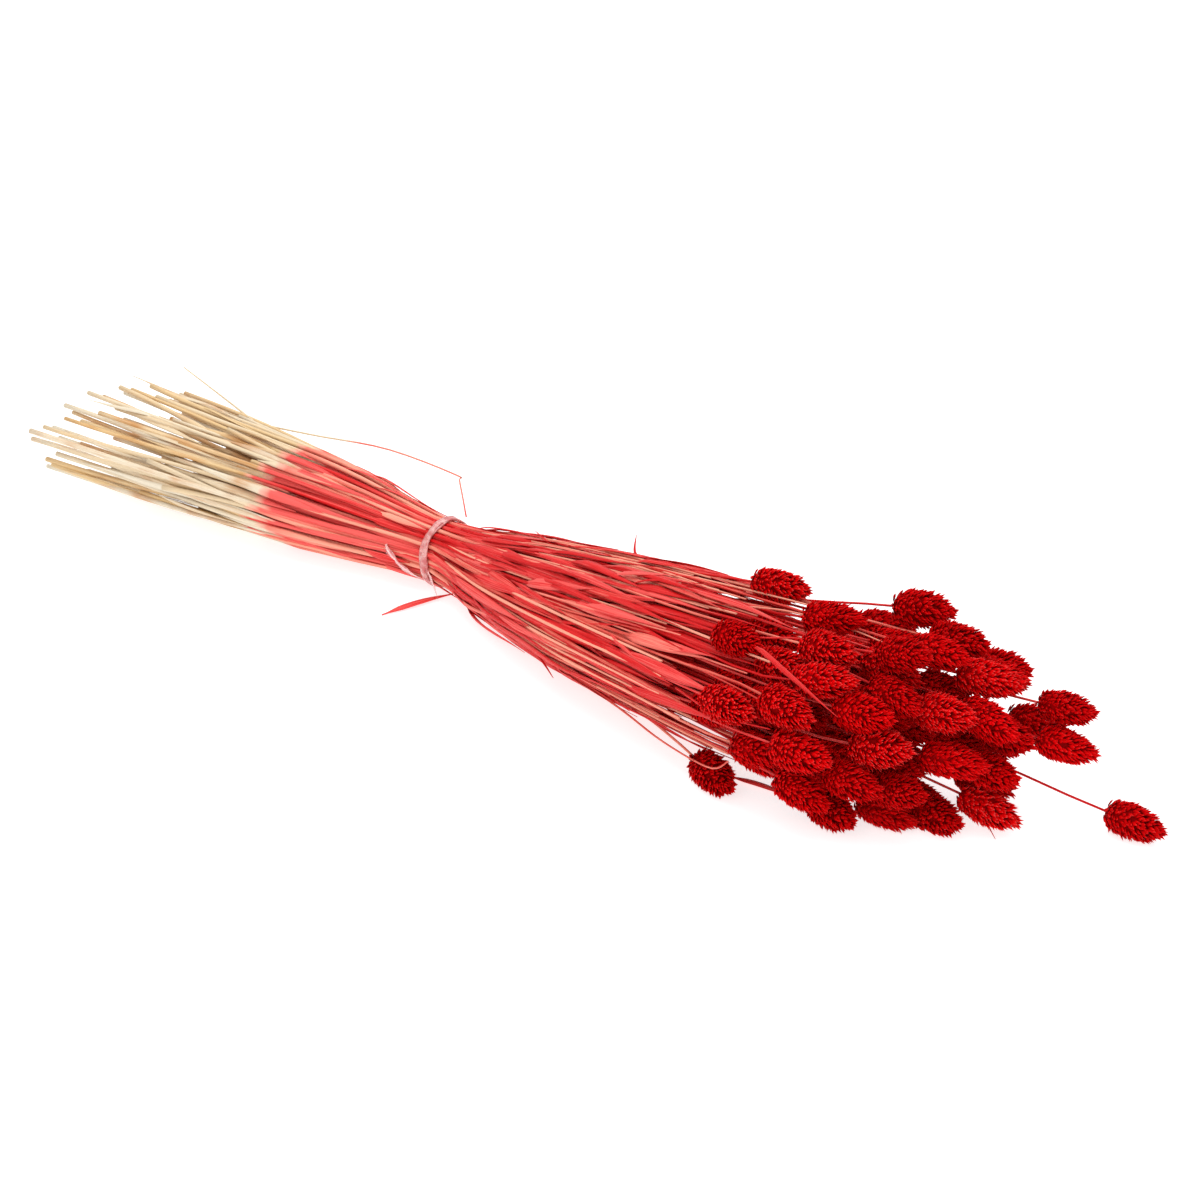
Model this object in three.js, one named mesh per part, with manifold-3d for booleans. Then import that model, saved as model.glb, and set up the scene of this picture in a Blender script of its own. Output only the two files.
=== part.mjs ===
// A tied bunch of dried canary grass, lying on a surface: culms, leaf blades and seed heads, with the
// tie round its waist. Millimetres, +Z up, heads towards +X and cut ends towards -X.
// Stations are measured along the bunch from the tie.
import * as THREE from "three";
import { mergeVertices } from "three/addons/utils/BufferGeometryUtils.js";
import Module from "manifold-3d";

const wasm = await Module();
wasm.setup();

// The section that holds the culms at stations along the bunch: its middle, half width and half height
const sections = [
  { station: -310, side: 2, rise: 30.2, width: 52, height: 28.8 },
  { station: -75, side: 4, rise: 24.6, width: 33, height: 23.2 },
  { station: -9, side: 6, rise: 20.6, width: 16.5, height: 16.5 },
  { station: 0, side: 6, rise: 20.6, width: 16.5, height: 16.5 },
  { station: 9, side: 6, rise: 20.6, width: 16.5, height: 16.5 },
  { station: 50, side: -3, rise: 23.4, width: 28, height: 21.4 },
  { station: 130, side: -22, rise: 32.4, width: 40, height: 29.8 },
  { station: 270, side: -44, rise: 44, width: 54, height: 36.4 },
  { station: 470, side: -47, rise: 44, width: 54, height: 36.4 },
];

// Culms stand in nested rings, each this far inside the one before where the heads begin
const fullSection = sections.at(-1);
const ringInset = 10;
const ringCounts = [28, 22, 16, 8];

// The head bases lie between a rear face and a front face, both slanted across the bunch
const headRear = { station: 248, slant: 0.1 };
const headFront = { station: 346, slant: 0.82, slope: -11, furtherByRing: 8 };

const culm = { cutRadius: 1.4, waistRadius: 1.15, neckRadius: 0.75, sides: 3, straightNeck: 8 };
const cutEnds = { nearest: -240, furthest: -276, slant: 26, slope: 10 };
const pressedGap = 1.2;

// A head's rows of scales begin and end inside its length, and each scale leans on by a share of a row
const head = { length: 33, radius: 8.8, relief: 0.9, around: 6, rows: 6, sunkNeck: 3 };
const headRows = { first: 0.25, spare: 0.4, scaleLean: 0.6 };
const headOutline = { from: 0.045, covers: 0.93, widestEarly: 0.72, bluntness: 0.8 };
const headSizeRange = [0.92, 1.02];

// How far a head may turn and move while a free place is sought, and the balls that stand for it
const headSearch = {
  tiltLimit: THREE.MathUtils.degToRad(16),
  tiltBias: 0.7,
  stationSpread: 26,
  neckSpread: 3,
  passes: 24,
  tries: 50,
};
const ballShares = [0.24, 0.5, 0.78];
const ballMargin = 0.1;
const clearGap = 0.45;

// Wanted stations step by the golden share of the head zone, a little crowded towards its front
const goldenShare = 0.618034;
const forwardBias = 0.85;
const shortestEdge = 0.05;

// Heads that stray from the cluster: which way they lie from its middle, their base, and how they point
const strays = [
  { lies: -42, station: 422, aside: 9, above: -10, yaw: -2, climb: -2 },
  { lies: 70, station: 229, aside: 1, above: 5, yaw: 3, climb: 5 },
  { lies: 50, station: 303, aside: 2, above: 12, yaw: 3, climb: 8 },
  { lies: -142, station: 243, aside: -2, above: -8.6, yaw: -27, climb: -2 },
  { lies: -124, station: 309, aside: -3, above: -2.5, yaw: -20, climb: -1 },
];

// Blades on every other culm of the outer ring: where each begins and ends, as a range of stations
const bladeRuns = [
  { culm: 0, from: [-150, -110], to: [-62, -38] },
  { culm: 0, from: [20, 32], to: [104, 118] },
  { culm: 1, from: [98, 112], to: [186, 206] },
];
const blade = {
  shareOfSpacing: 1.36,
  keel: 0.9,
  lift: 2.4,
  liftedBy: 0.25,
  steps: 3,
  root: { width: 0.3, widening: 2.2 },
  tip: { width: 0.12, widening: 2 },
};

const tie = {
  radius: 19.3,
  thickness: 1.15,
  around: 20,
  sides: 5,
  tilt: THREE.MathUtils.degToRad(8),
  apart: 4,
  spins: [0.07, 0.19],
};

const dyedGrass = new THREE.MeshStandardMaterial({ color: "#c42a35", roughness: 0.85, metalness: 0 });
const clearElastic = new THREE.MeshStandardMaterial({ color: "#f0b6b4", roughness: 0.3, metalness: 0 });

function drawsFrom(seed) {
  let state = seed;
  return () => {
    state = (state * 1664525 + 1013904223) % 4294967296;
    return state / 4294967296;
  };
}

const draw = drawsFrom(20);

function between([low, high], share = draw()) {
  return low + (high - low) * share;
}

function sectionAt(station) {
  const next = Math.max(1, sections.findIndex((section) => section.station >= station));
  const [a, b] = [sections[next - 1], sections[next]];
  const share = (station - a.station) / (b.station - a.station);
  const mixed = {};
  for (const key of ["side", "rise", "width", "height"]) {
    mixed[key] = THREE.MathUtils.lerp(a[key], b[key], share);
  }
  return mixed;
}

// A place in the section, as shares of its half width and half height, carried along the bunch
function pointAt(place, station) {
  const { side, rise, width, height } = sectionAt(station);
  return new THREE.Vector3(station, side + place.across * width, rise + place.up * height);
}

// Evenly spaced places on one ring, by stepping along its outline
function ringPlaces(count, inset) {
  const halfWidth = fullSection.width - inset;
  const halfHeight = fullSection.height - inset;
  const outline = new THREE.EllipseCurve(0, 0, halfWidth, halfHeight, 0, 2 * Math.PI);
  return outline.getSpacedPoints(count).slice(0, count).map((point) => ({
    across: point.x / fullSection.width,
    up: point.y / fullSection.height,
  }));
}

function solidFrom(geometry) {
  geometry.deleteAttribute("normal");
  geometry.deleteAttribute("uv");
  const merged = mergeVertices(geometry, 1e-4);
  return new wasm.Manifold(new wasm.Mesh({
    numProp: 3,
    vertProperties: merged.attributes.position.array,
    triVerts: Uint32Array.from(merged.index.array),
  }));
}

function meshFrom(solid, name, material) {
  const { vertProperties, triVerts } = solid.getMesh();
  const geometry = new THREE.BufferGeometry();
  geometry.setAttribute("position", new THREE.BufferAttribute(vertProperties, 3));
  geometry.setIndex(new THREE.BufferAttribute(triVerts, 1));
  geometry.computeVertexNormals();
  const mesh = new THREE.Mesh(geometry, material);
  mesh.name = name;
  return mesh;
}

// A closed skin over loops of points that all hold the same number, closed by a fan at each end
function skinOver(loops) {
  const count = loops[0].length;
  const positions = loops.flat();
  const index = [];
  for (let row = 0; row + 1 < loops.length; row += 1) {
    for (let j = 0; j < count; j += 1) {
      const a = row * count + j;
      const b = row * count + (j + 1) % count;
      index.push(a, b, b + count, a, b + count, a + count);
    }
  }
  const last = (loops.length - 1) * count;
  for (let j = 1; j + 1 < count; j += 1) {
    index.push(0, j + 1, j);
    index.push(last, last + j, last + j + 1);
  }
  const geometry = new THREE.BufferGeometry().setFromPoints(positions);
  geometry.setIndex(index);
  return solidFrom(geometry);
}

function culmRadiusAt(station) {
  if (station < 0) return between([culm.waistRadius, culm.cutRadius], station / cutEnds.furthest);
  return between([culm.waistRadius, culm.neckRadius], Math.min(1, station / headRear.station));
}

// The culm's points from its cut end to a little inside its head. A pair is pressed together at the tie
function culmPoints(stalk) {
  const middle = sections.slice(1).filter(({ station }) => station < stalk.headStation - culm.straightNeck);
  const points = [pointAt(stalk.place, stalk.cutStation)];
  for (const { station } of middle) {
    const point = pointAt(stalk.place, station);
    if (station === 0) point.add(stalk.pressedShift);
    points.push(point);
  }
  const base = pointAt(stalk.place, stalk.headStation).add(stalk.neckShift);
  points.push(base);
  return points;
}

function culmSolid(stalk) {
  const points = culmPoints(stalk);
  points.at(-1).addScaledVector(stalk.headAxis, head.sunkNeck);
  const loops = points.map((point) => {
    const radius = culmRadiusAt(point.x);
    return Array.from({ length: culm.sides }, (_, side) => {
      const turn = 2 * Math.PI * (side / culm.sides + stalk.turned);
      return point.clone().add(new THREE.Vector3(0, radius * Math.cos(turn), radius * Math.sin(turn)));
    });
  });
  return skinOver(loops);
}

// How wide a head is along its length, from its base at 0 to its tip at 1
function headWidthAt(share) {
  const { from, covers, widestEarly, bluntness } = headOutline;
  return Math.sin(Math.PI * (from + covers * share) ** widestEarly) ** bluntness;
}

// A seed head: a lattice of pointed scales, each raised at its outer end and leaning towards the tip
function headSolid(stalk) {
  const { around, rows } = head;
  const length = head.length * stalk.headSize;
  const radius = head.radius * stalk.headSize;
  const relief = head.relief * stalk.headSize;
  const frame = new THREE.Quaternion().setFromUnitVectors(new THREE.Vector3(1, 0, 0), stalk.headAxis);
  const base = culmPoints(stalk).at(-1);
  const positions = [];
  const vertexAt = (share, turn, lift) => {
    const reach = (radius - relief) * headWidthAt(share) + lift;
    const point = new THREE.Vector3(share * length, reach * Math.cos(turn), reach * Math.sin(turn));
    positions.push(point.applyQuaternion(frame).add(base));
    return positions.length - 1;
  };
  const turnOf = (row, j) => (2 * Math.PI * (j + (row % 2) / 2 + stalk.turned)) / around;
  const shareOf = (row) => (row + headRows.first) / (rows - headRows.spare);
  const rings = Array.from({ length: rows }, (_, row) => (
    Array.from({ length: around }, (_, j) => vertexAt(shareOf(row), turnOf(row, j), 0))
  ));
  const at = (row, j) => rings[row][(j + around) % around];
  const index = [];
  for (let row = 0; row + 2 < rows; row += 1) {
    const step = row % 2;
    for (let j = 0; j < around; j += 1) {
      const corners = [at(row, j), at(row + 1, j + step), at(row + 2, j), at(row + 1, j + step - 1)];
      const apex = vertexAt(shareOf(row + 1 + headRows.scaleLean), turnOf(row, j), relief);
      corners.forEach((corner, k) => index.push(corner, corners[(k + 1) % 4], apex));
    }
  }
  const baseCentre = vertexAt(0, 0, (relief - radius) * headWidthAt(0));
  const tipCentre = vertexAt(1, 0, 0);
  for (let j = 0; j < around; j += 1) {
    index.push(at(0, j), baseCentre, at(0, j + 1));
    index.push(at(0, j), at(0, j + 1), at(1, j));
    const last = rows - 1;
    const step = last % 2;
    index.push(at(last, j), at(last, j + 1), tipCentre);
    index.push(at(last, j), at(last - 1, j + step), at(last, j + 1));
  }
  const geometry = new THREE.BufferGeometry().setFromPoints(positions);
  geometry.setIndex(index);
  return solidFrom(geometry);
}

// Balls that stand for a head while its place is sought
function headBalls(stalk) {
  const base = culmPoints(stalk).at(-1);
  const length = head.length * stalk.headSize;
  return ballShares.map((share) => ({
    centre: base.clone().addScaledVector(stalk.headAxis, share * length),
    radius: head.radius * stalk.headSize * headWidthAt(share) + ballMargin,
  }));
}

// The room between two stalks, each of them a head of balls on a thin culm
function roomBetween(a, b) {
  let room = Infinity;
  for (const ball of a.balls) {
    for (const other of b.balls) {
      room = Math.min(room, ball.centre.distanceTo(other.centre) - ball.radius - other.radius);
    }
  }
  for (const [owner, passer] of [[a, b], [b, a]]) {
    for (const ball of owner.balls) room = Math.min(room, roomToCulm(ball, passer));
  }
  return room;
}

const nearest = new THREE.Vector3();

function roomToCulm(ball, stalk) {
  let room = Infinity;
  for (const segment of stalk.segments) {
    segment.closestPointToPoint(ball.centre, true, nearest);
    room = Math.min(room, nearest.distanceTo(ball.centre) - ball.radius - culm.neckRadius);
  }
  return room;
}

function settle(stalk) {
  const points = culmPoints(stalk).slice(-4);
  stalk.segments = points.slice(1).map((point, k) => new THREE.Line3(points[k], point));
  stalk.balls = headBalls(stalk);
}

// The stations between which a stalk's head may have its base
function headReach({ place, ring }) {
  const aside = place.across * fullSection.width;
  const further = headFront.slope * place.up + headFront.furtherByRing * ring;
  return [
    headRear.station + headRear.slant * aside,
    headFront.station + headFront.slant * aside + further,
  ];
}

// A free pose near the station that a head wants
function tryPose(stalk) {
  const { tiltLimit, tiltBias, stationSpread, neckSpread } = headSearch;
  const tilt = tiltLimit * draw() ** tiltBias;
  const turn = 2 * Math.PI * draw();
  const lean = Math.sin(tilt);
  const wanted = stalk.wantedStation + between([-stationSpread, stationSpread]);
  return {
    ...stalk,
    headStation: THREE.MathUtils.clamp(wanted, ...headReach(stalk)),
    headAxis: new THREE.Vector3(Math.cos(tilt), lean * Math.cos(turn), lean * Math.sin(turn)),
    neckShift: new THREE.Vector3(0, between([-neckSpread, neckSpread]), between([-neckSpread, neckSpread])),
  };
}

function cutStationFor(place) {
  const { nearest, furthest, slant, slope } = cutEnds;
  return between([nearest, furthest]) + slant * place.across + slope * place.up;
}

// Gives the outer stalk that lies nearest a direction its own head pose
function leadAstray(stalks, { lies, station, aside, above, yaw, climb }) {
  const wanted = new THREE.Vector2(1, 0).rotateAround(new THREE.Vector2(), THREE.MathUtils.degToRad(lies));
  const nearness = ({ place }) => wanted.dot(new THREE.Vector2(place.across, place.up).normalize());
  const outer = stalks.filter((stalk) => stalk.ring === 0 && !stalk.strays);
  const stalk = outer.reduce((a, b) => (nearness(b) > nearness(a) ? b : a));
  const [turn, rise] = [yaw, climb].map(THREE.MathUtils.degToRad);
  stalk.strays = true;
  stalk.headStation = station;
  stalk.neckShift.set(0, aside, above);
  stalk.headAxis.set(Math.cos(turn) * Math.cos(rise), Math.sin(turn) * Math.cos(rise), Math.sin(rise));
}

function placeHeads(stalks) {
  stalks.forEach(settle);
  for (let pass = 0; pass < headSearch.passes; pass += 1) {
    for (const stalk of stalks.filter(({ strays }) => !strays)) {
      const others = stalks.filter((other) => other !== stalk);
      const roomOf = (pose) => others.reduce(
        (room, other) => Math.min(room, roomBetween(pose, other)),
        clearGap,
      );
      let best = roomOf(stalk);
      if (best >= clearGap) continue;
      for (let tried = 0; tried < headSearch.tries; tried += 1) {
        const pose = tryPose(stalk);
        settle(pose);
        const room = roomOf(pose);
        if (room > best) {
          best = room;
          Object.assign(stalk, pose);
        }
      }
    }
  }
}

function plantStalks() {
  const stalks = [];
  ringCounts.forEach((count, ring) => {
    const places = ringPlaces(count, ring * ringInset);
    const atTie = places.map((place) => pointAt(place, 0));
    places.forEach((place, k) => {
      const partner = atTie[k % 2 === 0 ? k + 1 : k - 1];
      const toPartner = partner.clone().sub(atTie[k]);
      const shift = (toPartner.length() - pressedGap) / 2;
      const wantedShare = ((stalks.length * goldenShare) % 1) ** forwardBias;
      const wantedStation = between(headReach({ place, ring }), wantedShare);
      stalks.push({
        place,
        ring,
        cutStation: cutStationFor(place),
        pressedShift: toPartner.normalize().multiplyScalar(shift),
        wantedStation,
        headStation: wantedStation,
        headAxis: new THREE.Vector3(1, 0, 0),
        neckShift: new THREE.Vector3(),
        headSize: between(headSizeRange),
        turned: draw(),
      });
    });
  });
  for (const stray of strays) leadAstray(stalks, stray);
  placeHeads(stalks);
  return stalks;
}

// A flat, keeled leaf blade that leaves its culm, lies outside its neighbours and ends in a point
function bladeSolid(stalk, from, to) {
  const { across, up } = stalk.place;
  const outward = new THREE.Vector3(0, across / fullSection.width, up / fullSection.height).normalize();
  const sideways = new THREE.Vector3(0, -outward.z, outward.y);
  const loops = [];
  for (let step = 0; step <= blade.steps; step += 1) {
    const share = step / blade.steps;
    const station = THREE.MathUtils.lerp(from, to, share);
    const { width, height } = sectionAt(station);
    const spacing = (Math.PI * (width + height)) / ringCounts[0];
    const taper = Math.min(
      1,
      blade.root.width + blade.root.widening * share,
      blade.tip.width + blade.tip.widening * (1 - share),
    );
    const halfWidth = 0.5 * spacing * blade.shareOfSpacing * taper;
    const lift = blade.lift * Math.min(1, share / blade.liftedBy);
    const middle = pointAt(stalk.place, station).addScaledVector(outward, lift);
    loops.push([
      middle.clone().addScaledVector(sideways, -halfWidth),
      middle.clone().addScaledVector(sideways, halfWidth),
      middle.clone().addScaledVector(outward, -blade.keel),
    ]);
  }
  return skinOver(loops);
}

// The one body of a fused solid, with any hollow that fusing sealed filled and any scrap or sliver dropped
function oneBody(solid) {
  const clean = solid.asOriginal().simplify(shortestEdge);
  return clean.decompose().reduce((a, b) => (b.volume() > a.volume() ? b : a));
}

function stalkSolid(stalk, culmOfPair) {
  let solid = culmSolid(stalk).add(headSolid(stalk));
  for (const run of bladeRuns) {
    if (stalk.ring > 0 || run.culm !== culmOfPair) continue;
    solid = solid.add(bladeSolid(stalk, between(run.from), between(run.to)));
  }
  return solid;
}

function tieSolid() {
  const loop = (tilted, shift, turned) => {
    const ring = new THREE.TorusGeometry(tie.radius, tie.thickness, tie.sides, tie.around);
    ring.rotateZ(turned).rotateY(Math.PI / 2).rotateZ(tilted).translate(shift, 0, 0);
    return solidFrom(ring);
  };
  const { side, rise } = sectionAt(0);
  const front = loop(tie.tilt, tie.apart / 2, tie.spins[0]);
  const rear = loop(-tie.tilt, -tie.apart / 2, tie.spins[1]);
  return oneBody(front.add(rear)).translate([0, side, rise]);
}

const bunch = new THREE.Group();
const stalks = plantStalks();
for (let k = 0; k < stalks.length; k += 2) {
  const pair = stalkSolid(stalks[k], 0).add(stalkSolid(stalks[k + 1], 1)).trimByPlane([0, 0, 1], 0);
  bunch.add(meshFrom(oneBody(pair), `stalks_${String(k / 2 + 1).padStart(2, "0")}`, dyedGrass));
}
bunch.add(meshFrom(tieSolid(), "tie", clearElastic));

// The origin is under the middle of the whole bunch, on the surface that it lies on
const middle = new THREE.Box3().setFromObject(bunch).getCenter(new THREE.Vector3());
bunch.position.set(-middle.x, -middle.y, 0);
const object = new THREE.Group().add(bunch);

export default object;
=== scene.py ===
import bisect
import math
import random

import bmesh
import bpy
from mathutils import Matrix, Vector


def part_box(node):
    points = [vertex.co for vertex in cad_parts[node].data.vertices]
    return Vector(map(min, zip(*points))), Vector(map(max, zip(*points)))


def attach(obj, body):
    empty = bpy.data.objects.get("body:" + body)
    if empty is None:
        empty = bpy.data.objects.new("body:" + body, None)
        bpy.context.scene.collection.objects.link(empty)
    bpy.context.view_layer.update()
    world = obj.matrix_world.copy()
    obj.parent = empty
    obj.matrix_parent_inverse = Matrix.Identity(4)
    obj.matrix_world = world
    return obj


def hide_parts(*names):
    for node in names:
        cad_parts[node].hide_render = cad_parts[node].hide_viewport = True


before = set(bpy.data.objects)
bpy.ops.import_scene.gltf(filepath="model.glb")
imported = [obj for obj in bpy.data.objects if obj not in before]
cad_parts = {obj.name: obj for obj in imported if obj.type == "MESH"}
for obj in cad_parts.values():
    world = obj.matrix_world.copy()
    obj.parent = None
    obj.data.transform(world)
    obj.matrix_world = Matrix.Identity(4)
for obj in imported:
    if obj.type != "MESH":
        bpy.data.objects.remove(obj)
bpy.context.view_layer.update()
dice = random.Random(71)
millimetre = 0.001
mergeDistance = 1e-6  # in metres
floorGap = 0.35  # the least height of anything loose over the floor
goldenStep = 0.618034  # steps that spread things evenly over a length or round the bunch
plasticStep = 0.754877
goldenAngle = 2.399963

tieLow, tieHigh = (Vector(corner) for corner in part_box("tie"))
tieMiddle = (tieLow + tieHigh) / 2

# The bunch: its outline at stations along it, in millimetres from the tie, and how its stalks
# stand in rings
bunch = {
    "tieSide": 6,  # where the section's middle is at the tie
    "sections": [  # station, side, rise, half width, half height
        (-310, 2, 30.2, 52, 28.8),
        (-75, 4, 24.6, 33, 23.2),
        (-9, 6, 20.6, 16.5, 16.5),
        (9, 6, 20.6, 16.5, 16.5),
        (50, -3, 23.4, 28, 21.4),
        (130, -22, 32.4, 40, 29.8),
        (270, -44, 44, 54, 36.4),
        (470, -47, 44, 54, 36.4),
    ],
    "softening": 26,  # bends of the outline are rounded over this length,
    "tieSoftening": 4,  # which shrinks to this at the tie
    "softeningGrowth": 0.45,
    "ringCounts": [28, 22, 16, 8],
    "ringInset": 10,
    "ringSteps": 720,
    "headsFrom": 212,  # past this station a node has only its heads,
    "cutsBefore": -200,  # and before this one only its cut ends
    "headReach": 36,  # how far from its tip a head's points are looked for
    "longestHead": 34,
}
tieStation = tieMiddle.x / millimetre
sideShift = tieMiddle.y / millimetre - bunch["tieSide"]


def smooth(share):
    share = min(1, max(0, share))
    return share * share * (3 - 2 * share)


# From 0 at a start to 1 a length further on
def past(value, start, length):
    return smooth((value - start) / length)


def mix(a, b, share):
    return a + (b - a) * share


def evenly(k, step=goldenStep, first=0.0):
    return (k * step + first) % 1


def straightSection(station):
    rows = bunch["sections"]
    following = bisect.bisect([row[0] for row in rows], station)
    following = min(max(1, following), len(rows) - 1)
    a, b = rows[following - 1], rows[following]
    share = (station - a[0]) / (b[0] - a[0])
    return [mix(a[k], b[k], share) for k in range(1, 5)]


def sectionAt(station):
    grown = bunch["tieSoftening"] + bunch["softeningGrowth"] * abs(station)
    reach = min(bunch["softening"], grown)
    near = [straightSection(station + reach * step) for step in (-1, -0.5, 0, 0.5, 1)]
    return [sum(values) / len(near) for values in zip(*near)]


# A point in metres from a station, an angle round the bunch and a share of the way out from
# its middle
def onBunch(station, angle, out, lift=0.0):
    side, rise, width, height = sectionAt(station)
    across, up = math.cos(angle), math.sin(angle)
    point = Vector((
        station + tieStation,
        side + sideShift + (width * out + lift) * across,
        rise + (height * out + lift) * up,
    ))
    return point * millimetre


def placeAt(place, station):
    return onBunch(station, math.atan2(place[1], place[0]), math.hypot(*place))


def fromTie(x, y, z):
    return Vector((x + tieStation, y + sideShift, z)) * millimetre


def stationOf(point):
    return point.x / millimetre - tieStation


def aboveFloor(point):
    point.z = max(point.z, floorGap * millimetre)
    return point


# Reading the stalks from the CAD nodes


# Evenly spaced places on a ring, as shares of the bunch's half width and half height
def ringPlaces(count, inset):
    width, height = bunch["sections"][-1][3:]
    steps = bunch["ringSteps"]
    outline = []
    for k in range(steps + 1):
        turn = math.tau * k / steps
        outline.append(((width - inset) * math.cos(turn), (height - inset) * math.sin(turn)))
    run = [0.0]
    for a, b in zip(outline, outline[1:]):
        run.append(run[-1] + math.dist(a, b))
    chosen = [bisect.bisect_left(run, run[-1] * k / count) for k in range(count)]
    return [(outline[k][0] / width, outline[k][1] / height) for k in chosen]


# The two largest groups of joined vertices of a CAD node, among those at wanted stations
def islands(node, wanted):
    joined = bmesh.new()
    joined.from_mesh(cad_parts[node].data)
    bmesh.ops.remove_doubles(joined, verts=joined.verts[:], dist=mergeDistance)
    joined.verts.index_update()
    waiting = {vert.index: vert for vert in joined.verts if wanted(stationOf(vert.co))}
    found = []
    while waiting:
        group, front = [], [waiting.popitem()[1]]
        while front:
            vert = front.pop()
            group.append(vert.co.copy())
            for link in vert.link_edges:
                other = waiting.pop(link.other_vert(vert).index, None)
                if other is not None:
                    front.append(other)
        found.append(group)
    joined.free()
    return sorted(found, key=len)[-2:]


def headFrom(points):
    tip = max(points, key=lambda point: point.x)
    reach = bunch["headReach"] * millimetre
    near = [point for point in points if (point - tip).length < reach]
    axis = (tip - sum(near, Vector()) / len(near)).normalized()
    length = max((tip - point).dot(axis) for point in near)
    length = min(length, bunch["longestHead"] * millimetre)
    return {"axis": axis, "length": length, "base": tip - axis * length}


# A node's two points, in the order that suits its two places
def inOrder(places, points, pointOf):
    def misfit(order):
        return sum((placeAt(place, stationOf(pointOf(p))) - pointOf(p)).length
                   for place, p in zip(places, order))

    return min(points, points[::-1], key=misfit)


def readStalks():
    places = []
    for ring, count in enumerate(bunch["ringCounts"]):
        places += [(place, ring) for place in ringPlaces(count, ring * bunch["ringInset"])]
    found = []
    for pair in range(len(places) // 2):
        node = f"stalks_{pair + 1:02d}"
        ring = places[2 * pair][1]
        pairPlaces = [place for place, _ in places[2 * pair:2 * pair + 2]]
        tips = [headFrom(group)
                for group in islands(node, lambda station: station > bunch["headsFrom"])]
        ends = [sum(group, Vector()) / len(group)
                for group in islands(node, lambda station: station < bunch["cutsBefore"])]
        tips = inOrder(pairPlaces, tips, lambda head: head["base"])
        ends = inOrder(pairPlaces, ends, lambda cut: cut)
        for place, head, cut in zip(pairPlaces, tips, ends):
            found.append({"node": node, "ring": ring, "place": place, "head": head,
                          "cut": stationOf(cut)})
    return found


stalks = readStalks()
print("stalks read from the frame:", len(stalks))


# Shader maths


class Wire:
    def __init__(self, tree, socket):
        self.tree = tree
        self.socket = socket

    def node(self, kind, settings=None, sockets=None, output=0):
        made = self.tree.nodes.new(kind)
        for name, value in (settings or {}).items():
            setattr(made, name, value)
        for name, value in (sockets or {}).items():
            if isinstance(value, Wire):
                self.tree.links.new(value.socket, made.inputs[name])
            else:
                made.inputs[name].default_value = value
        return Wire(self.tree, made.outputs[output])

    def maths(self, operation, *values):
        return self.node("ShaderNodeMath", {"operation": operation}, dict(enumerate(values)))

    def __add__(self, other):
        return self.maths("ADD", self, other)

    def __sub__(self, other):
        return self.maths("SUBTRACT", self, other)

    def __rsub__(self, other):
        return self.maths("SUBTRACT", other, self)

    def __mul__(self, other):
        return self.maths("MULTIPLY", self, other)

    def __truediv__(self, other):
        return self.maths("DIVIDE", self, other)

    __radd__ = __add__
    __rmul__ = __mul__

    def within(self, low, high, outLow=0.0, outHigh=1.0):
        return self.node("ShaderNodeMapRange", {"interpolation_type": "SMOOTHSTEP"}, {
            "Value": self, "From Min": low, "From Max": high,
            "To Min": outLow, "To Max": outHigh})

    def attribute(self, name):
        return self.node("ShaderNodeAttribute", {"attribute_name": name}, output="Fac")

    def objectPlace(self):
        return self.node("ShaderNodeTexCoord", output="Object")

    def joined(self, x, y, z):
        return self.node("ShaderNodeCombineXYZ", {}, {"X": x, "Y": y, "Z": z})

    def noise(self, vector, scale, detail, roughness):
        return self.node("ShaderNodeTexNoise", {}, {
            "Vector": vector, "Scale": scale, "Detail": detail, "Roughness": roughness})

    # This value, from 0 to 1, carries the first colour to the second: a Mix node's colour
    # sockets go by number
    def tint(self, first, second):
        return self.node("ShaderNodeMix", {"data_type": "RGBA"}, {
            0: self, 6: first, 7: second}, output=2)

    def bump(self, strength, distance):
        return self.node("ShaderNodeBump", {}, {
            "Height": self, "Strength": strength, "Distance": distance})


# Linear colour from a screen's red, green and blue
def colour(*screen):
    shares = [value / 255 for value in screen]
    return tuple(((c + 0.055) / 1.055) ** 2.4 if c > 0.04045 else c / 12.92
                 for c in shares) + (1.0,)


def newMaterial(name, constants):
    material = bpy.data.materials.new(name)
    material.use_nodes = True
    tree = material.node_tree
    shader = tree.nodes["Principled BSDF"]
    for socket, value in constants.items():
        shader.inputs[socket].default_value = value
    return material, Wire(tree, None), shader


def plug(shader, wires):
    for name, wire in wires.items():
        shader.id_data.links.new(wire.socket, shader.inputs[name])


# Templates and pieces


# A mesh from a bmesh, which is used up
def keptMesh(made, name, outward=True):
    if outward:
        bmesh.ops.recalc_face_normals(made, faces=made.faces[:])
    mesh = bpy.data.meshes.new(name)
    made.to_mesh(mesh)
    made.free()
    return mesh


def inScene(name, data):
    made = bpy.data.objects.new(name, data)
    bpy.context.scene.collection.objects.link(made)
    return made


def edgesAlong(made, axis):
    return [edge for edge in made.edges
            if abs(edge.verts[0].co[axis] - edge.verts[1].co[axis]) > 0.5]


# A closed strip along X from 0 to 1, from -1 to 1 across Y and Z, to be laid along a path
def stripTemplate(name, steps, folds):
    strip = bmesh.new()
    bmesh.ops.create_cube(strip, size=2.0)
    bmesh.ops.subdivide_edges(strip, edges=edgesAlong(strip, 0), cuts=steps - 1,
                              use_grid_fill=True)
    bmesh.ops.subdivide_edges(strip, edges=edgesAlong(strip, 1), cuts=folds,
                              use_grid_fill=True)
    shift = Matrix.Diagonal((0.5, 1, 1, 1)) @ Matrix.Translation((1, 0, 0))
    bmesh.ops.transform(strip, matrix=shift, verts=strip.verts[:])
    return keptMesh(strip, name)


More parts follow.
